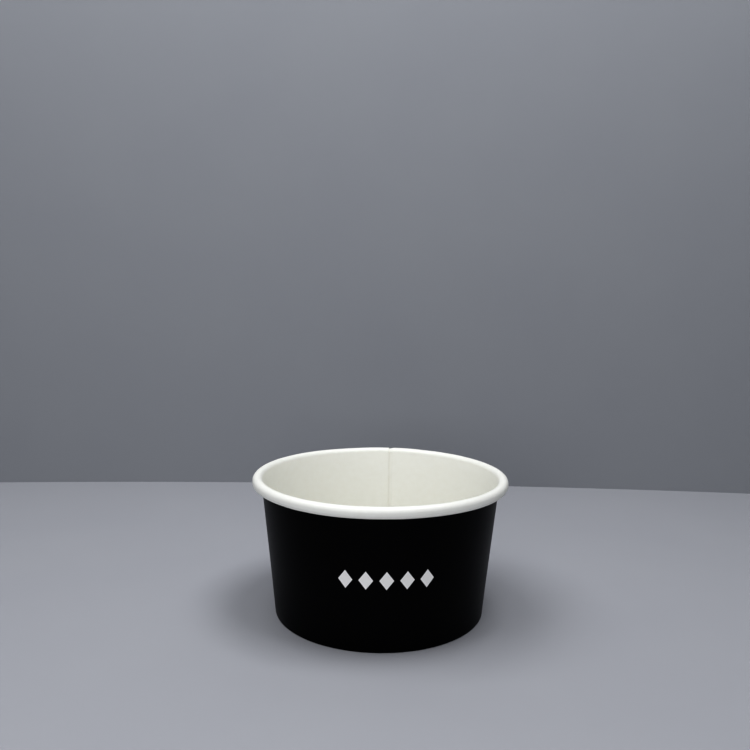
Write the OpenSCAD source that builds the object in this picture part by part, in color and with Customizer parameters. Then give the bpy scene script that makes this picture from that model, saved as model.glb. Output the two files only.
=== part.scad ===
// Paper dessert cup.
// One wrapped paperboard sidewall with a rolled rim, a lapped side seam and a folded foot,
// and one drawn paperboard bottom whose skirt is gripped between the sidewall and its hem.
// The origin is the middle of the foot ring on the table, +Z is up, and the seam is at +Y.

/* [Cup] */
// Outer diameter of the rolled rim
rim_d = 95; // [85:0.5:120]
// Diameter of the sidewall's outer face, carried down to the table
base_d = 78.6; // [60:0.2:88]
// Height from the table to the top of the rim
height = 51.9; // [30:0.1:120]

/* [Board] */
// Thickness of the sidewall board
wall_t = 0.4; // [0.25:0.01:0.48]
// Thickness of the bottom board
disc_t = 0.35; // [0.2:0.01:0.6]
// Clearance between two layers that are heat-sealed together
seal_gap = 0.02; // [0.01:0.01:0.05]

/* [Rolled rim] */
// Radius of the roll's outside over its inner and upper half
roll_r = 1.85; // [1.3:0.05:3]
// Straight drop on the roll's outside, between its upper and lower bends
roll_drop = 0.5; // [0.05:0.05:1]
// Gap between the roll's tucked end and the sidewall
tuck_gap = 0.12; // [0.05:0.01:0.3]
// Angle that the tucked end carries on for inside the roll, past the sidewall
tuck_turn = 60; // [10:5:70]

/* [Foot] */
// Outside radius of the two bends that fold the foot
fold_r = 0.5; // [0.5:0.01:0.6]
// Height of the hem that is folded up inside the foot
hem_h = 5.4; // [3:0.1:5.9]
// Depth of the recess from the table up to the bottom board
recess_h = 6.5; // [6:0.1:14]
// Outside radius of the bend where the bottom turns down into its skirt
skirt_bend_r = 0.9; // [0.65:0.05:1.4]
// Gap between the skirt's lower edge and the inside of the foot's fold
skirt_gap = 0.3; // [0.1:0.05:1]

/* [Side seam] */
// Width of the overlap between the sidewall's two ends
lap_w = 7; // [4:0.5:12]
// Length over which the outer end climbs over the inner end's edge
climb_w = 2; // [1.2:0.1:3]

/* [Hidden] */
$fn = 144;

// Largest angle between two neighbouring points of a bend in the section.
bend_step = 7.5;

rim_r = rim_d / 2;
base_r = base_d / 2;

// The roll's upper bend is tangent to the sidewall's inner face, and this sets the wall's lean.
roll_c = [rim_r - roll_r, height - roll_r];
lean = acos((roll_r - wall_t) / norm([roll_c.x - base_r, roll_c.y]))
    - atan2(roll_c.y, roll_c.x - base_r);

// The lower bend is tighter, so that its end passes the sidewall's outer face with tuck_gap.
tuck_r = roll_r - (wall_t + tuck_gap) / (1 + cos(lean));
tuck_c = [rim_r - tuck_r, roll_c.y - roll_drop];
roll_foot_z = tuck_c.y - tuck_r;

// Unit vectors of the sidewall's section: up along the wall, and out through it.
along = [sin(lean), cos(lean)];
outward = [cos(lean), -sin(lean)];

// Depths below the sidewall's outer face: the faces of the skirt and of the hem.
skirt_outer = wall_t + seal_gap;
skirt_inner = skirt_outer + disc_t;
hem_inner = skirt_inner + seal_gap + wall_t;

// Centres of the two bends of the foot, between which it stands flat on the table.
fold_c = [base_r - fold_r * (1 - sin(lean)) / cos(lean), fold_r];
hem_c = [base_r - (hem_inner - fold_r * (1 + sin(lean))) / cos(lean), fold_r];

// Centre of the bend where the flat bottom turns down into its skirt.
skirt_c_z = recess_h + disc_t - skirt_bend_r;
skirt_c = [base_r + (skirt_c_z * sin(lean) - skirt_outer - skirt_bend_r) / cos(lean), skirt_c_z];

// The seam: angles of its overlap and of its climb, and the angle of the inner end's edge.
lap_a = lap_w / base_r * 180 / PI;
climb_a = climb_w / base_r * 180 / PI;
edge_a = 90 - lap_a / 2;

// Turn of the climbing stretch out of the tangent, so that it rises one board over its length.
climb_turn = atan(wall_t / climb_w - climb_w / (2 * base_r));

// Longer than the whole cup, for the block that cuts.
beyond = 3 * max(rim_d, height);

// Point of the section at a depth below the sidewall's outer face and a distance up the wall.
function wall_pt(depth, up) = [base_r, 0] - depth * outward + up * along;

// Distance up the wall to a height, at a depth below the sidewall's outer face.
function up_at(depth, z) = (z - depth * sin(lean)) / cos(lean);

// Distance up the wall to the point that lies square to a centre of the section.
function up_to(c) = (c - [base_r, 0]) * along;

// Points of a bend about a centre, from one angle to another.
function bend(c, r, from_a, to_a) =
    let (steps = ceil(abs(to_a - from_a) / bend_step))
    [for (i = [0 : steps]) c + r * [cos(from_a + (to_a - from_a) * i / steps),
                                    sin(from_a + (to_a - from_a) * i / steps)]];

function reversed(points) = [for (i = [len(points) - 1 : -1 : 0]) points[i]];

// Run of the sidewall board from the hem's top edge, under the foot, up the wall and round the
// roll, at a depth below the board's printed face.
function board_run(depth) = concat(
    [wall_pt(hem_inner - depth, up_at(hem_inner, hem_h))],
    bend(hem_c, fold_r - depth, 180 - lean, 270),
    bend(fold_c, fold_r - depth, 270, 360 - lean),
    bend(roll_c, roll_r - wall_t + depth, 180 - lean, 90),
    bend(roll_c, roll_r - wall_t + depth, 90 - bend_step, 0),
    bend(tuck_c, tuck_r - wall_t + depth, 0, -180 - tuck_turn)
);

// Run of the bottom board from its middle to the skirt's lower edge, at a depth below its top.
function bottom_run(depth) = concat(
    [[0, recess_h + disc_t - depth]],
    bend(skirt_c, skirt_bend_r - depth, 90, -lean),
    [wall_pt(skirt_outer + depth, up_at(skirt_inner, wall_t + skirt_gap))]
);

// A strip along the wall, between two depths and two distances up.
module wall_strip(depth_a, depth_b, up_a, up_b) {
    polygon([wall_pt(depth_a, up_a), wall_pt(depth_a, up_b), wall_pt(depth_b, up_b), wall_pt(depth_b, up_a)]);
}

// Everything outside a plane that touches the wall at a depth, where the climb starts, and
// that turns outwards from there at the climb's slope.
module outside_climb(depth) {
    rotate([0, 0, edge_a - climb_a]) translate([base_r, 0, 0]) rotate([0, lean, 0])
        translate([-depth, 0, 0]) rotate([0, 0, -climb_turn])
            translate([0, -beyond / 2, -beyond / 2]) cube(beyond);
}

// Outer end of the blank: it climbs over the inner end's edge and lies on the sidewall.
module lap() {
    difference() {
        rotate([0, 0, edge_a - 2 * climb_a]) rotate_extrude(angle = lap_a + 2 * climb_a)
            wall_strip(-wall_t, wall_t / 2, up_to(fold_c), up_at(-wall_t, roll_foot_z - tuck_gap));
        outside_climb(0);
    }
}

// Channel inside the cup beside the inner end's edge, where the board climbs over that edge.
module edge_channel() {
    difference() {
        rotate([0, 0, edge_a - 2 * climb_a]) rotate_extrude(angle = 2 * climb_a)
            wall_strip(-wall_t / 2, 2 * wall_t, up_at(wall_t, recess_h + disc_t), up_to(roll_c));
        outside_climb(wall_t);
    }
}

module sidewall() {
    color([0.03, 0.03, 0.035]) difference() {
        union() {
            rotate_extrude() polygon(concat(board_run(0), reversed(board_run(wall_t))));
            lap();
        }
        edge_channel();
    }
}

module bottom_disc() {
    color([0.93, 0.92, 0.88]) rotate_extrude()
        polygon(concat(bottom_run(0), reversed(bottom_run(disc_t))));
}

sidewall();
bottom_disc();
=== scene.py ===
"""Paper dessert cup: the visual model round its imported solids, with a plain studio and a camera.

The cup is two pieces of coated board. The sidewall is one blank, carried along its section from the
hem, under the foot, up the wall and round the rolled rim, and wrapped once round the axis with a lap.
The bottom is one drawn blank. Sizes are in millimetres and degrees, and meshes go in in metres.
"""

import logging
from dataclasses import dataclass, field
from enum import Enum
from typing import Any

import bpy
import numpy as np
from mathutils import Matrix, Vector


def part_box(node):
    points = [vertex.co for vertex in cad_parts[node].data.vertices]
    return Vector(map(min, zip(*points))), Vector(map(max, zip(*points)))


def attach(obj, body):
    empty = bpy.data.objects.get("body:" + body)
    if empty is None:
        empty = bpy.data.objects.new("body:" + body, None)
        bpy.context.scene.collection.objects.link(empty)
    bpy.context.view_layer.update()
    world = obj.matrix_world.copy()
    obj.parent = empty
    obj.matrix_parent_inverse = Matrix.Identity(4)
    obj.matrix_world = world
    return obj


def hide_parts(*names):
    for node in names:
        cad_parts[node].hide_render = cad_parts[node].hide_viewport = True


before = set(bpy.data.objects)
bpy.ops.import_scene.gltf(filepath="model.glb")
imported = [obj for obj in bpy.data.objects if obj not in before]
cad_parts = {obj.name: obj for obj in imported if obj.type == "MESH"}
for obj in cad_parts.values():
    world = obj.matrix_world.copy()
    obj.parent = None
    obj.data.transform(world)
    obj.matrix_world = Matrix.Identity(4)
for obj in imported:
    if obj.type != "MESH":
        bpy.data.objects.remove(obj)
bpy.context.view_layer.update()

MM = 0.001
BODY = "root"
BOARD_MAP = "Board"
BAKE_MAP = "OFBake"
BAKE_MARGIN = 0.01
BAKE_STRIP = 0.007
SHARP_ANGLE = 40.0
SENSOR_W = 36.0
log = logging.getLogger("dessert_cup")

Array = np.ndarray
Waves = tuple[tuple[int, float], ...]
# Point numbers, with their places on the flat blank in millimetres and in the unit square.
Sheet = tuple[Array, Array, Array]


class Slot(Enum):
    """Material slots of the record, which nothing in this script uses."""

    PRINTED = "printed_board"
    WHITE = "white_board"


class Skin(Enum):
    """Faces of a board, as the order of the materials on its mesh."""

    OUTER = 0
    INNER = 1
    CUT = 2


def smooth(value: Array) -> Array:
    """Eases a value from 0 to 1: clipped to that range, then three times its square less twice its cube.

    Args:
        value: Numbers of any shape.

    Returns:
        Numbers of the same shape, from 0 to 1.
    """
    held = np.clip(value, 0.0, 1.0)
    return held * held * (3.0 - 2.0 * held)


def ripple(angle: Array, waves: Waves) -> Array:
    """Mean of some cosines round the cup, each with a whole number of waves and a phase.

    Args:
        angle: Angles in radians.
        waves: Pairs of a wave count and a phase in radians.

    Returns:
        The mean at each angle, which stays between -1 and 1.
    """
    return sum(np.cos(count * angle + phase) for count, phase in waves) / len(waves)


def polar(centre: Array, radius: float, start: float, end: float, count: int) -> tuple[Array, Array]:
    """Points of an arc: the centre plus the radius times the unit vector of each evenly spaced angle.

    Args:
        centre: The arc's centre in the section.
        radius: The arc's radius.
        start: The first angle in degrees.
        end: The last angle in degrees.
        count: How many points, both ends included.

    Returns:
        The points, and the unit vectors from the centre to them.
    """
    angle = np.radians(np.linspace(start, end, count))
    rays = np.stack([np.cos(angle), np.sin(angle)], axis=1)
    return centre + radius * rays, rays


def spin(flat: Array, turn: Array) -> Array:
    """Turns a section round the axis: the radius times the turn's cosine and sine, and the height.

    Args:
        flat: Points (radius, height), in rows and columns.
        turn: Angle of each column in radians.

    Returns:
        Points (x, y, z), in the same rows and columns.
    """
    x, y = flat[..., 0] * np.cos(turn), flat[..., 0] * np.sin(turn)
    return np.stack([x, y, np.broadcast_to(flat[..., 1], x.shape)], axis=-1)


def strip(along: Array, low: float) -> Array:
    """Lays a cut edge in a thin strip of the unit square, from margin to margin.

    Args:
        along: Rising distances along the edge, from 0.
        low: Height of the strip's lower side.

    Returns:
        Places on the strip's lower and upper sides, in two rows.
    """
    share = BAKE_MARGIN + (1 - 2 * BAKE_MARGIN) * along / along[-1]
    sides = (low, low + BAKE_STRIP)
    return np.stack([np.stack([share, np.full_like(share, side)], axis=-1) for side in sides])


def rows_of(sheet: Sheet, part: int | slice) -> Sheet:
    """Takes one row, or a stretch of rows, of a sheet."""
    return tuple(values[part] for values in sheet)


@dataclass(frozen=True)
class Run:
    """A board's section: points on its outer face, and unit vectors from there into the board.

    Attributes:
        points: Points (radius, height) in millimetres.
        into: Unit vectors from the outer face towards the inner face.
        thickness: The board's thickness.
    """

    points: Array
    into: Array
    thickness: float

    @property
    def length(self) -> Array:
        """Distance along the middle of the board from its first point to each point."""
        middle = self.points + self.into * self.thickness / 2
        steps = np.linalg.norm(np.diff(middle, axis=0), axis=1)
        return np.concatenate([[0.0], np.cumsum(steps)])

    def moved(self, move: Array) -> Array:
        """Points (row, column, radius and height): each row's point moved into the board."""
        return self.points[:, None, :] + move[..., None] * self.into[:, None, :]


@dataclass(frozen=True)
class Rows:
    """How many points each stretch of the section has, both ends included."""

    hem: int = 9
    hem_bend: int = 7
    fold_bend: int = 8
    wall: int = 14
    roll: int = 22
    tuck: int = 24
    floor: int = 22
    skirt_bend: int = 10
    skirt: int = 6


@dataclass(frozen=True)
class CupSection:
    """The cup's half section, in the same sizes as its solids.

    The wall's lean follows from the roll, whose upper bend touches the wall's inner face.
    """

    rim_r: float
    height: float
    base_r: float = 39.3
    wall_t: float = 0.4
    disc_t: float = 0.35
    seal_gap: float = 0.02
    roll_r: float = 1.85
    roll_drop: float = 0.5
    tuck_gap: float = 0.12
    tuck_turn: float = 60.0
    fold_r: float = 0.5
    hem_h: float = 5.4
    recess_h: float = 6.5
    skirt_bend_r: float = 0.9
    skirt_gap: float = 0.3
    rows: Rows = Rows()

    @classmethod
    def from_frame(cls) -> "CupSection":
        """Takes the rim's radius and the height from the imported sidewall."""
        _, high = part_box("sidewall")
        return cls(rim_r=high.x / MM, height=high.z / MM)

    @property
    def roll_c(self) -> Array:
        """Centre of the roll's upper bend."""
        return np.array([self.rim_r - self.roll_r, self.height - self.roll_r])

    @property
    def lean(self) -> float:
        """Angle in degrees by which the wall leans out."""
        reach = self.roll_c - (self.base_r, 0.0)
        turn = np.arccos((self.roll_r - self.wall_t) / np.hypot(*reach))
        return float(np.degrees(turn - np.arctan2(reach[1], reach[0])))

    @property
    def outward(self) -> Array:
        """Unit vector out through the wall."""
        angle = np.radians(self.lean)
        return np.array([np.cos(angle), -np.sin(angle)])

    @property
    def along(self) -> Array:
        """Unit vector up along the wall."""
        angle = np.radians(self.lean)
        return np.array([np.sin(angle), np.cos(angle)])

    @property
    def tuck_r(self) -> float:
        """Radius of the roll's lower bend, which clears the wall by the tuck gap."""
        return self.roll_r - (self.wall_t + self.tuck_gap) / (1 + self.outward[0])

    @property
    def skirt_outer(self) -> float:
        """Depth of the skirt's outer face below the wall's outer face."""
        return self.wall_t + self.seal_gap

    @property
    def hem_inner(self) -> float:
        """Depth of the hem's inner face below the wall's outer face."""
        return self.skirt_outer + self.disc_t + self.seal_gap + self.wall_t

    def wall_points(self, depth: float, up: Array) -> Array:
        """Points at a depth below the wall's outer face: the foot, less the depth outwards, plus up along.

        Args:
            depth: Distance below the wall's outer face.
            up: Distances up the wall.

        Returns:
            One point for each distance.
        """
        return (self.base_r, 0.0) - depth * self.outward + np.outer(up, self.along)

    def up_at(self, depth: float, height: float) -> float:
        """Distance up the wall to a height, at a depth below its outer face."""
        return (height + depth * self.outward[1]) / self.along[1]

    def up_to(self, centre: Array) -> float:
        """Distance up the wall to the point square to a centre."""
        return float((centre - (self.base_r, 0.0)) @ self.along)

    def board_run(self) -> Run:
        """The sidewall board from the hem's top edge to the roll's tucked end.

        Straight stretches have points at even distances. The outer face is the outside of the bends in
        the foot and the inside of those in the roll.

        Returns:
            The run, whose outer face is the printed one.
        """
        lean, rows = self.lean, self.rows
        sine, cosine = self.along
        hem_x = self.base_r - (self.hem_inner - self.fold_r * (1 + sine)) / cosine
        fold_x = self.base_r - self.fold_r * (1 - sine) / cosine
        hem_c = np.array([hem_x, self.fold_r])
        fold_c = np.array([fold_x, self.fold_r])
        tuck_c = np.array([self.rim_r - self.tuck_r, self.roll_c[1] - self.roll_drop])
        hem_top = self.up_at(self.hem_inner, self.hem_h)
        hem = self.wall_points(self.hem_inner, np.linspace(hem_top, self.up_to(hem_c), rows.hem)[:-1])
        hem_bend, hem_rays = polar(hem_c, self.fold_r, 180 - lean, 270, rows.hem_bend)
        fold_bend, fold_rays = polar(fold_c, self.fold_r, 270, 360 - lean, rows.fold_bend)
        wall_up = np.linspace(self.up_to(fold_c), self.up_to(self.roll_c), rows.wall)
        wall = self.wall_points(0.0, wall_up[1:-1])
        roll, roll_rays = polar(self.roll_c, self.roll_r - self.wall_t, 180 - lean, 0, rows.roll)
        tuck, tuck_rays = polar(tuck_c, self.tuck_r - self.wall_t, 0, -180 - self.tuck_turn, rows.tuck)
        points = np.concatenate([hem, hem_bend, fold_bend, wall, roll, tuck])
        into = np.concatenate([
            np.tile(self.outward, (len(hem), 1)), -hem_rays, -fold_rays,
            np.tile(-self.outward, (len(wall), 1)), roll_rays, tuck_rays,
        ])
        return Run(points, into, self.wall_t)

    def bottom_run(self) -> Run:
        """The bottom board from near its middle to the skirt's lower edge.

        Rings lie at even steps over the flat, an arc turns down, and the skirt runs straight.

        Returns:
            The run, whose outer face is the one that holds the food.
        """
        rows = self.rows
        bend_z = self.recess_h + self.disc_t - self.skirt_bend_r
        depth = self.skirt_outer + self.skirt_bend_r
        bend_x = self.base_r + (bend_z * self.along[0] - depth) / self.along[1]
        centre = np.array([bend_x, bend_z])
        radii = np.linspace(0.0, bend_x, rows.floor)[1:-1]
        flat = np.stack([radii, np.full_like(radii, self.recess_h + self.disc_t)], axis=1)
        bend, rays = polar(centre, self.skirt_bend_r, 90, -self.lean, rows.skirt_bend)
        foot = self.up_at(self.skirt_outer + self.disc_t, self.wall_t + self.skirt_gap)
        skirt_up = np.linspace(self.up_to(centre), foot, rows.skirt)
        skirt = self.wall_points(self.skirt_outer, skirt_up[1:])
        points = np.concatenate([flat, bend, skirt])
        into = np.concatenate([
            np.tile((0.0, -1.0), (len(flat), 1)), -rays, np.tile(-self.outward, (len(skirt), 1)),
        ])
        return Run(points, into, self.disc_t)


@dataclass(frozen=True)
class Handling:
    """The slight ways in which a real cup's mouth is out of true.

    Attributes:
        oval: How far the rim is out of round, each way.
        rise: How far the rim is out of flat, each way.
        true_to: Height up to which the foot keeps the cup true.
        phase: Phase of the oval in radians.
        waves: Waves of the rim's rise and fall.
    """

    oval: float = 0.26
    rise: float = 0.1
    true_to: float = 9.0
    phase: float = 0.1
    waves: Waves = ((2, 1.1), (3, 2.6), (5, 0.4))

    def relax(self, points: Array, height: float) -> Array:
        """Moves each point a little, by its height and its angle.

        The share is the eased height above the true part. The radius is stretched by the oval over the
        height, times the share, times a cosine of twice the angle. The height gains the rise times the
        share's square times a ripple.

        Args:
            points: Points (x, y, z) in millimetres.
            height: The cup's height.

        Returns:
            The moved points.
        """
        angle = np.arctan2(points[..., 1], points[..., 0])
        share = smooth((points[..., 2] - self.true_to) / (height - self.true_to))
        stretch = 1 + self.oval * share * np.cos(2 * angle + self.phase) / height
        lift = self.rise * share**2 * ripple(angle, self.waves)
        moved = points * np.stack([stretch, stretch, np.ones_like(stretch)], axis=-1)
        moved[..., 2] += lift
        return moved


@dataclass
class Draft:
    """A mesh in the making: points in millimetres, and faces with their maps and skins."""

    points: list[Array] = field(default_factory=list)
    faces: list[Array] = field(default_factory=list)
    board: list[Array] = field(default_factory=list)
    bake: list[Array] = field(default_factory=list)
    skins: list[Array] = field(default_factory=list)

    def add_points(self, points: Array) -> Array:
        """Adds a grid of points.

        Args:
            points: An array whose last axis is (x, y, z).

        Returns:
            The points' numbers in the mesh, in the grid's shape.
        """
        start = sum(len(block) for block in self.points)
        self.points.append(points.reshape(-1, 3))
        return start + np.arange(points[..., 0].size).reshape(points.shape[:-1])

    def add_faces(self, corners: Sheet, skin: Skin, flip: bool) -> None:
        """Adds faces that have the same number of corners.

        Args:
            corners: One row for each face.
            skin: The board's face that they belong to.
            flip: True to turn the faces over.
        """
        numbers, flat, bake = (values[:, ::-1] if flip else values for values in corners)
        self.faces.append(numbers)
        self.board.append(flat.reshape(-1, 2) * MM)
        self.bake.append(bake.reshape(-1, 2))
        self.skins.append(np.full(len(numbers), skin.value))

    def add_sheet(self, sheet: Sheet, skin: Skin, flip: bool) -> None:
        """Adds the quads between neighbouring rows and columns of a sheet.

        Args:
            sheet: The sheet.
            skin: The board's face that the quads belong to.
            flip: True to turn the quads over.
        """
        quads = []
        for values in sheet:
            ring = [values[:-1, :-1], values[:-1, 1:], values[1:, 1:], values[1:, :-1]]
            quads.append(np.stack(ring, axis=2).reshape(-1, 4, *values.shape[2:]))
        self.add_faces(tuple(quads), skin, flip)

    def add_step(self, coarse: Sheet, fine: Sheet, skin: Skin, flip: bool) -> None:
        """Joins a coarse row to a finer one, with every point of the fine row as a corner.

        Args:
            coarse: The coarse row.
            fine: The fine row, which has a whole number of steps to each coarse one.
            skin: The board's face that the faces belong to.
            flip: True to turn the faces over.
        """
        steps = len(coarse[0]) - 1
        ratio = (len(fine[0]) - 1) // steps
        low = np.stack([np.arange(steps), np.arange(steps) + 1], axis=1)
        high = (np.arange(steps) * ratio)[:, None] + np.arange(ratio, -1, -1)
        pairs = zip(coarse, fine, strict=True)
        self.add_faces(tuple(np.concatenate([c[low], f[high]], axis=1) for c, f in pairs), skin, flip)

    def add_fan(self, tip: Array, ring: Sheet, skin: Skin, flip: bool) -> None:
        """Closes the middle of a ring with triangles from a pole.

        Args:
            tip: The pole (x, y, z).
            ring: The ring, whose last point is its first again.
            skin: The board's face that the triangles belong to.
            flip: True to turn the faces over.
        """
        centres = (self.add_points(tip[None]), ring[1][:-1].mean(0), ring[2][:-1].mean(0))
        fans = [(np.broadcast_to(centre, around[:-1].shape), around[1:], around[:-1])
                for centre, around in zip(centres, ring, strict=True)]
        self.add_faces(tuple(np.stack(fan, axis=1) for fan in fans), skin, flip)

    def finish(self, name: str, materials: list[bpy.types.Material]) -> bpy.types.Object:
        """Puts the draft into a smooth-shaded mesh with sharp cut edges.

        Args:
            name: The piece's name.
            materials: One material for each skin, in order.

        Returns:
            The new object, at the origin.
        """
        mesh = bpy.data.meshes.new(name)
        corners = [row for block in self.faces for row in block.tolist()]
        mesh.from_pydata(np.concatenate(self.points) * MM, [], corners)
        for label, blocks in ((BOARD_MAP, self.board), (BAKE_MAP, self.bake)):
            layer = mesh.uv_layers.new(name=label)
            layer.data.foreach_set("uv", np.concatenate(blocks).astype(np.float32).ravel())
        for material in materials:
            mesh.materials.append(material)
        mesh.polygons.foreach_set("material_index", np.concatenate(self.skins).astype(np.int32))
        mesh.polygons.foreach_set("use_smooth", np.ones(len(mesh.polygons), dtype=bool))
        mesh.set_sharp_from_angle(angle=np.radians(SHARP_ANGLE))
        mesh.update()
        piece = bpy.data.objects.new(name, mesh)
        bpy.context.scene.collection.objects.link(piece)
        return piece


def linear(code: str) -> tuple[float, float, float, float]:
    """Turns an sRGB hex colour into linear numbers.

    Args:
        code: Six hex digits after a hash.

    Returns:
        Red, green, blue and an alpha of 1.
    """
    shares = np.array([int(code[i:i + 2], 16) for i in (1, 3, 5)]) / 255.0
    curved = np.where(shares <= 0.04045, shares / 12.92, ((shares + 0.055) / 1.055) ** 2.4)
    return (*(float(share) for share in curved), 1.0)


def add(tree: bpy.types.NodeTree, kind: str, inputs: dict[Any, Any] | None = None,
        **settings: Any) -> bpy.types.Node:
    """Adds a node, with its settings and with its inputs set or linked.

    Args:
        tree: The node tree.
        kind: The node's type, without its prefix.
        inputs: A value, an output socket, or a node for its first output, by input.
        settings: The node's own attributes.

    Returns:
        The new node.
    """
    made = tree.nodes.new("ShaderNode" + kind)
    for key, value in settings.items():
        setattr(made, key, value)
    for key, value in (inputs or {}).items():
        source = value.outputs[0] if isinstance(value, bpy.types.Node) else value
        if isinstance(source, bpy.types.NodeSocket):
            tree.links.new(source, made.inputs[key])
        else:
            made.inputs[key].default_value = source
    return made


def new_material(name: str, numbers: dict[str, float]) -> tuple[bpy.types.Material, bpy.types.Node]:
    """Makes a material that holds a Principled shader and its output.

    Args:
        name: The material's name.
        numbers: The shader's own numbers, by input name.

    Returns:
        The material and its Principled shader.
    """
    material = bpy.data.materials.new(name)
    material.use_nodes = True
    material.node_tree.nodes.clear()
    shader = add(material.node_tree, "BsdfPrincipled", numbers)
    add(material.node_tree, "OutputMaterial", {"Surface": shader})
    return material, shader


def per_mm(size: float) -> float:
    """Noise scale, on coordinates in metres, whose features are a size in millimetres across."""
    return 1.0 / (size * MM)


@dataclass(frozen=True)
class Grain:
    """Relief of calendered cup board: short flat fibres under a thin film, with a slow waviness.

    Attributes:
        fibre: Width of a fibre bundle. Single fibres are 0.03 mm and too fine to show.
        stretch: How many times longer than wide a bundle is.
        flock: Width of the slow cloudiness that a sheet forms on the wire.
        relief: Height of the relief.
        clouded: Share of the relief that follows the cloudiness.
    """

    fibre: float = 0.22
    stretch: float = 5.0
    flock: float = 2.4
    relief: float = 0.012
    clouded: float = 0.35

    def dress(self, tree: bpy.types.NodeTree, shader: bpy.types.Node,
              gloss: tuple[float, float]) -> bpy.types.Node:
        """Gives a shader the grain: fibres on the flat blank, in its relief and in its roughness.

        Args:
            tree: The material's node tree.
            shader: The material's Principled shader.
            gloss: Roughness in the hollows and on the fibres.

        Returns:
            A node that gives the sheet's cloudiness, from 0 to 1.
        """
        blank = add(tree, "UVMap", uv_map=BOARD_MAP)
        drawn = add(tree, "Mapping", {"Vector": blank, "Scale": (1.0, 1.0 / self.stretch, 1.0)})
        fibres = add(tree, "TexNoise", {
            "Vector": drawn, "Scale": per_mm(self.fibre), "Detail": 3.0, "Roughness": 0.6,
        })
        cloud = add(tree, "TexNoise", {
            "Vector": blank, "Scale": per_mm(self.flock), "Detail": 2.0, "Roughness": 0.5,
        })
        height = add(tree, "Mix", {"Factor": self.clouded, "A": fibres, "B": cloud}).outputs["Result"]
        rough = add(tree, "MapRange", {"Value": height, "To Min": gloss[0], "To Max": gloss[1]})
        bump = add(tree, "Bump", {"Strength": 1.0, "Distance": self.relief * MM, "Height": height})
        tree.links.new(rough.outputs["Result"], shader.inputs["Roughness"])
        tree.links.new(bump.outputs["Normal"], shader.inputs["Normal"])
        return cloud


@dataclass(frozen=True)
class WhiteBoard:
    """Bleached cup board with an extruded polyethylene film, on the rim and inside the cup.

    The film follows the fibres and gives a soft satin sheen, and the board scatters light like paper.
    """

    name: str = "polyethylene_coated_white_cup_board"
    colour: str = "#F3F3EC"
    shade: str = "#EEEDE4"
    gloss: tuple[float, float] = (0.41, 0.53)
    ior: float = 1.5

    def build(self) -> bpy.types.Material:
        """Builds the material: two close whites by the sheet's cloudiness, over the grain.

        Returns:
            The material.
        """
        material, shader = new_material(self.name, {"IOR": self.ior})
        tree = material.node_tree
        cloud = Grain().dress(tree, shader, self.gloss)
        tint = add(tree, "Mix", {"Factor": cloud, "A": linear(self.colour), "B": linear(self.shade)},
                   data_type="RGBA")
        tree.links.new(tint.outputs["Result"], shader.inputs["Base Color"])
        return material


@dataclass(frozen=True)
class Mark:
    """A plain row of lozenges left white in the print.

    Attributes:
        count: How many lozenges, an odd number.
        pitch: Distance between their middles round the wall.
        wide: Width of one.
        tall: Height of one.
        height: Height of their middles above the table.
        turn: Angle of the row's middle from the cup's front, to the right.
        edge: Shares of a lozenge's size at which the soft edge starts and ends.
    """

    count: int = 5
    pitch: float = 6.9
    wide: float = 4.9
    tall: float = 6.4
    height: float = 26.0
    turn: float = 3.0
    edge: tuple[float, float] = (1.03, 0.99)

    def build(self, tree: bpy.types.NodeTree, middle: tuple[float, float], girth: float) -> bpy.types.Node:
        """Adds the row's nodes: in a lozenge, the distances over its half sizes add up to under 1.

        Args:
            tree: The material's node tree.
            middle: The row's middle on the flat blank, in millimetres.
            girth: Millimetres on the wall there for each millimetre of the blank's map.

        Returns:
            A node that gives 1 in a lozenge and 0 outside, with a soft edge as wide as ink spreads.
        """
        start, end = self.edge
        blank = add(tree, "UVMap", uv_map=BOARD_MAP)
        centre = (middle[0] * MM, middle[1] * MM, 0.0)
        shares = (girth / (self.pitch * MM), 2 / (self.tall * MM), 0.0)
        offset = add(tree, "VectorMath", {0: blank, 1: centre}, operation="SUBTRACT")
        scaled = add(tree, "VectorMath", {0: offset, 1: shares}, operation="MULTIPLY")
        size = add(tree, "VectorMath", {0: scaled}, operation="ABSOLUTE")
        pitches, up, _ = add(tree, "SeparateXYZ", {0: size}).outputs
        folded = add(tree, "Math", {0: pitches, 1: 0.5}, operation="PINGPONG")
        across = add(tree, "Math", {0: folded, 1: 2 * self.pitch / self.wide}, operation="MULTIPLY")
        away = add(tree, "Math", {0: across, 1: up}, operation="ADD")
        lozenge = add(tree, "MapRange", {"Value": away, "From Min": start, "From Max": end})
        row = add(tree, "Math", {0: pitches, 1: self.count / 2}, operation="LESS_THAN")
        return add(tree, "Math", {0: lozenge, 1: row}, operation="MULTIPLY")


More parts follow.
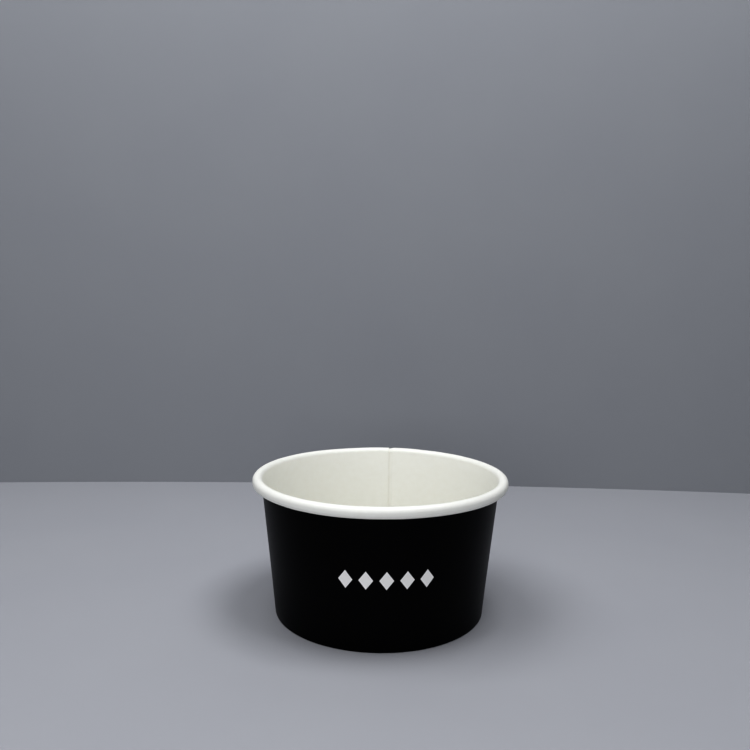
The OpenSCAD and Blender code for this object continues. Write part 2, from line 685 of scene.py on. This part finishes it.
@dataclass(frozen=True)
class PrintedBoard:
    """Cup board flooded with black flexographic ink under a matt water varnish.

    The ink is close to a true black, and the varnish only shines where it is seen at a low angle.
    """

    name: str = "black_flexo_printed_cup_board"
    ink: str = "#030304"
    thin_ink: str = "#060607"
    bare: str = "#FAF9F5"
    gloss: tuple[float, float] = (0.34, 0.48)
    ior: float = 1.45
    level: float = 0.1

    def build(self, mark: Mark, middle: tuple[float, float], girth: float) -> bpy.types.Material:
        """Builds the material: ink that thins a little on the fibres, and bare board in the mark.

        Args:
            mark: The row of lozenges.
            middle: The row's middle on the flat blank.
            girth: Millimetres on the wall there for each millimetre of the blank's map.

        Returns:
            The material.
        """
        material, shader = new_material(self.name, {"IOR": self.ior, "Specular IOR Level": self.level})
        tree = material.node_tree
        cloud = Grain().dress(tree, shader, self.gloss)
        ink = add(tree, "Mix", {"Factor": cloud, "A": linear(self.ink), "B": linear(self.thin_ink)},
                  data_type="RGBA").outputs["Result"]
        reserve = mark.build(tree, middle, girth)
        tint = add(tree, "Mix", {"Factor": reserve, "A": ink, "B": linear(self.bare)}, data_type="RGBA")
        tree.links.new(tint.outputs["Result"], shader.inputs["Base Color"])
        return material


@dataclass(frozen=True)
class MattBoard:
    """Board or card with no film: open fibres that scatter light and don't shine.

    Attributes:
        name: The material's name.
        light: Its lighter colour.
        dark: Its darker colour.
        cloud: Size of the patches of the two.
        detail: How many finer patches lie in them.
        relief: Height of the relief that the fibres make, or 0 for a calendered face.
        roughness: Its roughness.
    """

    name: str
    light: str
    dark: str
    cloud: float
    detail: float = 2.0
    relief: float = 0.0
    roughness: float = 0.85

    def build(self) -> bpy.types.Material:
        """Builds the material: the two colours in a noise, and the relief where there is one.

        Returns:
            The material.
        """
        material, shader = new_material(self.name, {"Roughness": self.roughness})
        tree = material.node_tree
        place = add(tree, "TexCoord").outputs["Object"]
        fibres = add(tree, "TexNoise", {"Vector": place, "Scale": per_mm(self.cloud), "Detail": self.detail})
        tint = add(tree, "Mix", {"Factor": fibres, "A": linear(self.light), "B": linear(self.dark)},
                   data_type="RGBA")
        tree.links.new(tint.outputs["Result"], shader.inputs["Base Color"])
        if self.relief:
            bump = add(tree, "Bump", {"Distance": self.relief * MM, "Height": fibres})
            tree.links.new(bump.outputs["Normal"], shader.inputs["Normal"])
        return material


# The die-cut edge shows the board's cream fibres in layers, torn a little by the knife.
CUT_EDGE = MattBoard("die_cut_board_edge", "#EEE9DC", "#DDD6C6", 0.12, 3.0, relief=0.03, roughness=0.9)
# Grey card is dyed in the pulp, and so fine that it only shows a slow cloudiness.
TABLE_CARD = MattBoard("pale_grey_matt_card", "#ABACAF", "#A7A8AC", cloud=60.0)
BACKDROP_CARD = MattBoard("grey_backdrop_card", "#9D9FA2", "#999B9F", cloud=60.0)


@dataclass
class Sidewall:
    """The wrapped sidewall: wall, lapped seam, rolled rim, folded foot and knurled hem, in one blank.

    Attributes:
        section: The cup's section.
        handling: How the mouth is out of true.
        lap_w: Width of the lap at the foot.
        climb_w: Length over which the outer end climbs over the inner end's edge.
        seam_gap: Gap between the two ends.
        pressed: Height up to which the foot presses the seam flat, and its ease.
        swell: How far the roll stands proud where the seam runs through it.
        lead: Where the swell starts before the roll's top, in roll radii.
        unevenness: How far the roll's outside wavers along the rim.
        waver: The waves of that.
        ridges: How many knurl ridges the hem has.
        ridge_h: Depth of the knurl.
        knurl_band: Distances below the hem's top where the knurl starts and ends, each with its ease.
        columns: Columns of the mesh for the run, the climb and the lap.
        fineness: Columns of the knurled hem for each one elsewhere.
        face_h: Height of each face in the unit square.
        inner_low: Lower side of the inner face there.
        edge_lows: Lower sides there of the edges: the hem's, the roll's, and the seam's two ends.
    """

    section: CupSection
    handling: Handling
    lap_w: float = 7.0
    climb_w: float = 2.0
    seam_gap: float = 0.01
    pressed: tuple[float, float] = (0.6, 3.0)
    swell: float = 0.1
    lead: float = 1.6
    unevenness: float = 0.03
    waver: Waves = ((9, 0.3), (14, 1.9), (23, 4.0), (31, 2.2))
    ridges: int = 180
    ridge_h: float = 0.13
    knurl_band: tuple[float, float, float, float] = (0.3, 0.5, 4.3, 0.9)
    columns: tuple[int, int, int] = (440, 12, 18)
    fineness: int = 3
    face_h: float = 0.46
    inner_low: float = 0.49
    edge_lows: tuple[float, float, float, float] = (0.96, 0.972, 0.984, 0.992)

    @property
    def lap(self) -> float:
        """Angle of the lap in radians."""
        return self.lap_w / self.section.base_r

    @property
    def climb(self) -> float:
        """Angle of the climb in radians."""
        return self.climb_w / self.section.base_r

    @property
    def edge_angle(self) -> float:
        """Angle round the axis of the inner end's edge, in radians. The lap's middle is at the back."""
        return np.pi / 2 - self.lap / 2

    def turns(self, fineness: int) -> Array:
        """Angles of the blank's columns from its inner end to its outer end, in radians.

        Args:
            fineness: Into how many steps each step of the coarse columns is cut.

        Returns:
            Rising angles, even within the run, within the climb and within the lap.
        """
        stops = np.array([0.0, 2 * np.pi - self.climb, 2 * np.pi, 2 * np.pi + self.lap])
        parts = [np.linspace(a, b, n * fineness + 1) for a, b, n in zip(stops, stops[1:], self.columns)]
        return np.concatenate([parts[0], parts[1][1:], parts[2][1:]])

    def depth(self, run: Run, turn: Array, skin: Skin) -> Array:
        """Depth of one face of the board, measured from its printed side, for each row and column.

        Up the wall and round the roll, the outer end lies a thickness and the gap over the inner end.
        At the foot, both ends are pressed to half a thickness. Each change eases in over the climb.

        Args:
            run: The board's section.
            turn: Angles from the blank's inner end.
            skin: The face.

        Returns:
            Depths in millimetres, with a row for each point of the run.
        """
        raised = smooth((run.points[:, 1] - self.pressed[0]) / self.pressed[1])[:, None]
        outer = smooth((turn - 2 * np.pi + self.climb) / self.climb)[None, :]
        half, step = run.thickness / 2, run.thickness + self.seam_gap
        if skin is Skin.INNER:
            return run.thickness - outer * (raised * step + (1 - raised) * (half + self.seam_gap))
        under = 1 - smooth((turn - self.lap) / self.climb)[None, :]
        return under * (1 - raised) * half - outer * raised * step

    def fullness(self, run: Run, turn: Array) -> Array:
        """How far the roll's outside stands proud, for each row and column.

        It swells over the lap and ripples along the rim, and both ease in at the roll's start. The
        tucked end is pinched in where it would meet the seam.

        Args:
            run: The board's section.
            turn: Angles from the blank's inner end.

        Returns:
            Moves in millimetres, away from the middle of the roll.
        """
        top = int(np.argmax(run.points[:, 1]))
        roll = smooth((run.length - run.length[top]) / self.section.roll_r + self.lead)[:, None]
        beside = np.clip(-run.into[:, 0], 0, 1) * (np.arange(len(run.into)) > top)
        near = np.minimum(turn, np.abs(turn - 2 * np.pi))[None, :]
        lapped = 1 - smooth((near - self.lap) / self.lap)
        waver = self.unevenness * ripple(turn, self.waver)[None, :]
        pinch = (run.thickness + 2 * self.seam_gap) * beside[:, None] * lapped
        return roll * (self.swell * lapped + waver) - pinch

    def knurl(self, run: Run, turn: Array) -> Array:
        """How deep the knurl presses the hem, for each row and column.

        A raised cosine of the ridge count times the angle, eased out at the hem's edge and the fold.

        Args:
            run: The board's section.
            turn: Angles from the blank's inner end.

        Returns:
            Depths in millimetres.
        """
        along = run.length[:, None]
        start, ease_in, end, ease_out = self.knurl_band
        band = smooth((along - start) / ease_in) * (1 - smooth((along - end) / ease_out))
        wave = 0.5 - 0.5 * np.cos(self.ridges * turn[None, :])
        return self.ridge_h * band * wave

    def place(self, run: Run, turn: Array, skin: Skin) -> Array:
        """Carries one face of the board along the section and round the axis.

        Each point of the run is moved into the board by the face's depth, the roll's fullness and, on
        the printed side, the knurl. It is turned by the blank's angle, and then the mouth relaxes.

        Args:
            run: The board's section.
            turn: Angles from the blank's inner end.
            skin: The face.

        Returns:
            Points (row, column, xyz) in millimetres.
        """
        move = self.depth(run, turn, skin) + self.fullness(run, turn)
        if skin is Skin.OUTER:
            move = move + self.knurl(run, turn)
        points = spin(run.moved(move), self.edge_angle + turn)
        return self.handling.relax(points, self.section.height)

    def flat_places(self, run: Run, turn: Array) -> Array:
        """Places on the flat blank: the angle times the foot's radius, and the distance along the run."""
        places = np.broadcast_arrays(turn[None, :] * self.section.base_r, run.length[:, None])
        return np.stack(places, axis=-1)

    def build(self) -> bpy.types.Object:
        """Builds the sidewall's mesh, closed at its four cut edges, and dresses it.

        Returns:
            The finished piece.
        """
        run = self.section.board_run()
        coarse, fine = self.turns(1), self.turns(self.fineness)
        knurled = int(np.searchsorted(run.length, self.section.hem_h))
        flat, flat_fine = self.flat_places(run, coarse), self.flat_places(run, fine)[:knurled]
        share = (1 - 2 * BAKE_MARGIN, self.face_h) / flat[-1, -1]
        bake, bake_fine = (places * share + BAKE_MARGIN for places in (flat, flat_fine))
        bake_inner = (flat * share + (BAKE_MARGIN, self.inner_low)) * (-1, 1) + (1, 0)
        draft = Draft()
        above = draft.add_points(self.place(run, coarse, Skin.OUTER)[knurled:])
        outer = (above, flat[knurled:], bake[knurled:])
        ridged = (draft.add_points(self.place(run, fine, Skin.OUTER)[:knurled]), flat_fine, bake_fine)
        inner = (draft.add_points(self.place(run, coarse, Skin.INNER)), flat, bake_inner)
        draft.add_sheet(outer, Skin.OUTER, False)
        draft.add_sheet(ridged, Skin.OUTER, False)
        draft.add_step(rows_of(outer, 0), rows_of(ridged, -1), Skin.OUTER, True)
        draft.add_sheet(inner, Skin.INNER, True)
        self.close_edges(draft, above, ridged, inner)
        return draft.finish("wrapped_sidewall", self.finishes(run))

    def close_edges(self, draft: Draft, outer: Array, ridged: Sheet, inner: Sheet) -> None:
        """Closes the blank's cut edges: the hem's top, the roll's tucked end, and the seam's two ends.

        Args:
            draft: The mesh in the making.
            outer: Point numbers of the outer face above the hem.
            ridged: The knurled hem's outer face.
            inner: The inner face.
        """
        hem_low, tuck_low, *end_lows = self.edge_lows
        points, flat, _ = inner
        round_cup, up_board = flat[0, :, 0], flat[:, 0, 1]
        hem_fine = strip(ridged[1][0, :, 0], hem_low)[1]
        draft.add_step((points[0], flat[0], strip(round_cup, hem_low)[0]),
                       (ridged[0][0], ridged[1][0], hem_fine), Skin.CUT, False)
        tuck = (np.stack([outer[-1], points[-1]]), np.stack([flat[-1]] * 2), strip(round_cup, tuck_low))
        draft.add_sheet(tuck, Skin.CUT, False)
        for column, low in zip((0, -1), end_lows, strict=True):
            edge = np.stack([np.concatenate([ridged[0][:, column], outer[:, column]]), points[:, column]])
            end = (edge, np.stack([flat[:, column]] * 2), strip(up_board, low))
            draft.add_sheet(end, Skin.CUT, column == -1)

    def finishes(self, run: Run) -> list[bpy.types.Material]:
        """Makes the materials of the printed face, the coated face and the cut edges.

        Args:
            run: The board's section.

        Returns:
            The materials, in the order of the skins.
        """
        mark = Mark()
        section = self.section
        front = np.radians(270.0 + mark.turn) - self.edge_angle
        wall_r = section.base_r + mark.height * np.tan(np.radians(section.lean))
        wall = (run.into[:, 0] < 0) & (run.points[:, 1] > section.fold_r)
        up = float(np.interp(mark.height, run.points[wall, 1], run.length[wall]))
        printed = PrintedBoard().build(mark, (front * section.base_r, up), wall_r / section.base_r)
        return [printed, WhiteBoard().build(), CUT_EDGE.build()]


@dataclass
class BottomDisc:
    """The drawn bottom: a flat floor with a slight dome, a bend and a skirt.

    Attributes:
        section: The cup's section.
        dome: How far the middle stands above the floor's edge.
        crease: Depth of the ring that the punch leaves near the bend.
        crease_in: Distance of that ring inside the bend.
        crease_w: Its half width.
        pleat: Height of the fine pleats on the bend and the skirt.
        pleats: How many there are.
        pleat_ease: Distance before the bend over which they ease in.
        drift: How far they drift round the disc, in radians of a pleat.
        drift_waves: The waves of that.
        columns: Columns of the mesh round the disc.
        bake_r: Radius that each face takes in the unit square.
        bake_x: Where the middles of the upper and the lower face lie across it.
    """

    section: CupSection
    dome: float = 0.45
    crease: float = 0.07
    crease_in: float = 2.2
    crease_w: float = 0.7
    pleat: float = 0.02
    pleats: int = 90
    pleat_ease: float = 3.0
    drift: float = 1.7
    drift_waves: Waves = ((3, 0.2), (7, 1.4), (11, 2.8))
    columns: int = 540
    bake_r: float = 0.24
    bake_x: tuple[float, float] = (0.25, 0.75)

    def relief(self, run: Run, turn: Array) -> Array:
        """Lift of the board for each row and column.

        The dome is one less the squared share of the radius, squared. The crease is a narrow bell,
        and the pleats are a drifting cosine that eases in towards the bend.

        Args:
            run: The board's section.
            turn: Angles round the disc.

        Returns:
            Lifts in millimetres, with a row for each point of the run.
        """
        flat_r = self.section.base_r - self.section.skirt_outer - self.section.skirt_bend_r
        share = np.clip(run.points[:, :1] / flat_r, 0, 1)
        bowl = self.dome * (1 - share**2) ** 2
        ring = -self.crease * np.exp(-(((run.points[:, :1] - flat_r + self.crease_in) / self.crease_w) ** 2))
        fold = smooth((run.length[:, None] - flat_r + self.pleat_ease) / self.pleat_ease)
        wave = np.cos(self.pleats * turn + self.drift * ripple(turn, self.drift_waves))[None, :]
        return bowl + ring - self.pleat * fold * (0.5 - 0.5 * wave)

    def build(self) -> bpy.types.Object:
        """Builds the bottom's mesh, closed at its middle and at the skirt's edge, and dresses it.

        Returns:
            The finished piece.
        """
        run = self.section.bottom_run()
        turn = np.linspace(0, 2 * np.pi, self.columns + 1)
        wrap = np.arange(self.columns + 1) % self.columns
        reach = (run.points[0, 0] + run.length)[:, None]
        flat = np.stack([reach * np.cos(turn), reach * np.sin(turn)], axis=-1)
        relief = self.relief(run, turn[:-1])
        draft = Draft()
        edges = []
        faces = (Skin.OUTER, Skin.INNER)
        for skin, depth, middle in zip(faces, (0.0, run.thickness), self.bake_x, strict=True):
            flip = skin is Skin.OUTER
            points = draft.add_points(spin(run.moved(depth - relief), turn[:-1]))[:, wrap]
            bake = flat * self.bake_r / reach.max() * (1 if flip else -1, 1) + (middle, 0.5)
            sheet = (points, flat, bake)
            draft.add_sheet(sheet, skin, flip)
            top = self.section.recess_h + self.section.disc_t + self.dome - depth
            draft.add_fan(np.array([0.0, 0.0, top]), rows_of(sheet, 0), skin, flip)
            edges.append(points[-1])
        edge = (np.stack(edges), np.stack([flat[-1]] * 2), strip(turn, BAKE_MARGIN))
        draft.add_sheet(edge, Skin.CUT, True)
        white = WhiteBoard()
        return draft.finish("drawn_bottom", [white.build(), white.build(), CUT_EDGE.build()])


@dataclass(frozen=True)
class Softbox:
    """A soft light that faces the cup's middle.

    Attributes:
        name: The light's name.
        place: Its middle.
        size: Its two sides.
        power: Its power in watts.
        colour: Its colour, close to daylight.
        aim_h: Height of the point that it faces.
    """

    name: str
    place: tuple[float, float, float]
    size: tuple[float, float]
    power: float
    colour: str = "#FAFBFF"
    aim_h: float = 26.0

    def build(self) -> None:
        """Hangs the light in the scene, where the camera doesn't see it."""
        data = bpy.data.lights.new(self.name, "AREA")
        data.shape = "RECTANGLE"
        data.size, data.size_y = self.size[0] * MM, self.size[1] * MM
        data.energy = self.power
        data.color = linear(self.colour)[:3]
        light = bpy.data.objects.new(self.name, data)
        light.visible_camera = False
        light.location = Vector(self.place) * MM
        aim = Vector((0.0, 0.0, self.aim_h)) * MM - light.location
        light.rotation_euler = aim.to_track_quat("-Z", "Y").to_euler()
        bpy.context.scene.collection.objects.link(light)


@dataclass
class Studio:
    """The floor, the backdrop, the soft lights and the camera.

    Attributes:
        middle_r: Radius of the floor's first ring.
        floor_r: Radius of the floor's flat part.
        sweep_r: Radius of the curve that turns the floor up into the wall round it.
        wall_h: Height of that wall.
        floor_grid: Rows of the floor's flat part and of its curve, and its columns.
        backdrop_y: Distance of the backdrop's middle behind the cup's axis.
        backdrop_turn: Fall of that distance for each millimetre to the right.
        backdrop_bow: Fall of it for each square millimetre away from the middle.
        backdrop_w: Width of the backdrop.
        backdrop_z: Heights of the backdrop's lower edge, just under the table, and its upper edge.
        backdrop_grid: Columns and rows of the backdrop's mesh.
        softboxes: Two soft lights over the cup, and a dim one in front of it.
        room: Colour of the dim light from all round.
        room_strength: Strength of that light.
        look: The display's contrast.
        eye: The camera's place.
        pitch: Angle by which the camera looks down.
        roll: Angle by which the camera is turned about its own axis.
        lens: Focal length.
        clip: Nearest and farthest distance that the camera sees.
    """

    middle_r: float = 20.0
    floor_r: float = 520.0
    sweep_r: float = 240.0
    wall_h: float = 1000.0
    floor_grid: tuple[int, int, int] = (10, 16, 128)
    backdrop_y: float = 183.2
    backdrop_turn: float = 0.012
    backdrop_bow: float = 0.0002
    backdrop_w: float = 640.0
    backdrop_z: tuple[float, float] = (-1.0, 560.0)
    backdrop_grid: tuple[int, int] = (49, 8)
    softboxes: tuple[Softbox, ...] = (
        Softbox("left_softbox", (-232.0, -79.0, 660.0), (393.0, 393.0), 1.64),
        Softbox("right_softbox", (151.0, -79.0, 694.0), (276.0, 276.0), 1.70),
        Softbox("front_fill", (-76.0, -438.0, 146.0), (300.0, 160.0), 0.43),
    )
    room: str = "#DDE2EA"
    room_strength: float = 0.05
    look: str = "High Contrast"
    eye: tuple[float, float, float] = (-2.47, -277.7, 119.8)
    pitch: float = 6.34
    roll: float = 0.7
    lens: float = 36.05
    clip: tuple[float, float] = (10.0, 20000.0)

    def build_floor(self) -> bpy.types.Object:
        """Builds the floor: a flat disc whose edge curves up into a wall all round.

        Returns:
            The floor.
        """
        flat_rows, sweep_rows, columns = self.floor_grid
        radii = np.geomspace(self.middle_r, self.floor_r, flat_rows)[:-1]
        flat = np.stack([radii, np.zeros_like(radii)], axis=1)
        sweep, _ = polar(np.array([self.floor_r, self.sweep_r]), self.sweep_r, 270, 360, sweep_rows)
        top = np.array([[self.floor_r + self.sweep_r, self.wall_h]])
        run = np.concatenate([flat, sweep, top])
        turn = np.linspace(0, 2 * np.pi, columns + 1)
        wrap = np.arange(columns + 1) % columns
        steps = np.linalg.norm(np.diff(run, axis=0), axis=1)
        reach = np.concatenate([[0.0], np.cumsum(steps)]) + radii[0]
        places = reach[:, None, None] * np.stack([np.cos(turn), np.sin(turn)], axis=-1)
        draft = Draft()
        points = draft.add_points(spin(run[:, None, :], turn[:-1]))[:, wrap]
        sheet = (points, places, places / (2 * reach[-1]) + 0.5)
        draft.add_sheet(sheet, Skin.OUTER, True)
        draft.add_fan(np.zeros(3), rows_of(sheet, 0), Skin.OUTER, True)
        return draft.finish("studio_floor", [TABLE_CARD.build()])

    def build_backdrop(self) -> bpy.types.Object:
        """Builds the backdrop: an upright sheet that bows gently towards the camera at its sides.

        Its distance is that of its middle, less the turn times x, less the bow times x squared.

        Returns:
            The backdrop.
        """
        columns, rows = self.backdrop_grid
        x = np.linspace(-self.backdrop_w / 2, self.backdrop_w / 2, columns)
        y = self.backdrop_y - self.backdrop_turn * x - self.backdrop_bow * x**2
        z = np.linspace(*self.backdrop_z, rows)
        points = np.stack(np.broadcast_arrays(x[None, :], y[None, :], z[:, None]), axis=-1)
        flat = points[..., [0, 2]]
        draft = Draft()
        sheet = (draft.add_points(points), flat, flat / self.backdrop_w + 0.5)
        draft.add_sheet(sheet, Skin.OUTER, False)
        return draft.finish("studio_backdrop", [BACKDROP_CARD.build()])

    def build_lights(self) -> None:
        """Hangs the soft lights and dims the room."""
        for softbox in self.softboxes:
            softbox.build()
        world = bpy.data.worlds.new("room_light")
        world.use_nodes = True
        background = world.node_tree.nodes["Background"]
        background.inputs["Color"].default_value = linear(self.room)
        background.inputs["Strength"].default_value = self.room_strength
        bpy.context.scene.world = world

    def build_camera(self) -> None:
        """Places the camera: in front of the cup and above it, looking down, and turned a little."""
        data = bpy.data.cameras.new("camera")
        data.sensor_width = SENSOR_W
        data.lens = self.lens
        data.clip_start, data.clip_end = self.clip[0] * MM, self.clip[1] * MM
        camera = bpy.data.objects.new("camera", data)
        look = Matrix.Rotation(np.radians(90.0 - self.pitch), 4, "X")
        turn = Matrix.Rotation(np.radians(self.roll), 4, "Z")
        place = Matrix.Translation(Vector(self.eye) * MM)
        camera.matrix_world = place @ look @ turn
        bpy.context.scene.collection.objects.link(camera)
        bpy.context.scene.camera = camera

    def build(self) -> None:
        """Builds the floor, the backdrop, the lights and the camera, and sets a plain display curve."""
        for sheet in (self.build_floor(), self.build_backdrop()):
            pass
        self.build_lights()
        self.build_camera()
        bpy.context.scene.view_settings.view_transform = "Standard"
        bpy.context.scene.view_settings.look = self.look


def report_piece(piece: bpy.types.Object, node: str) -> None:
    """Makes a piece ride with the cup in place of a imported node, and logs it.

    Args:
        piece: The finished piece.
        node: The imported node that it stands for.
    """
    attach(piece, BODY)
    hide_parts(node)
    log.info("%s: %d points, %d faces", piece.name, len(piece.data.vertices), len(piece.data.polygons))


def main() -> None:
    """Builds the cup and the studio."""
    logging.basicConfig(level=logging.INFO, format="%(name)s: %(message)s")
    section = CupSection.from_frame()
    sidewall = Sidewall(section, Handling()).build()
    report_piece(sidewall, "sidewall")
    bottom = BottomDisc(section).build()
    report_piece(bottom, "bottom_disc")
    Studio().build()


if __name__ == "__main__":
    main()
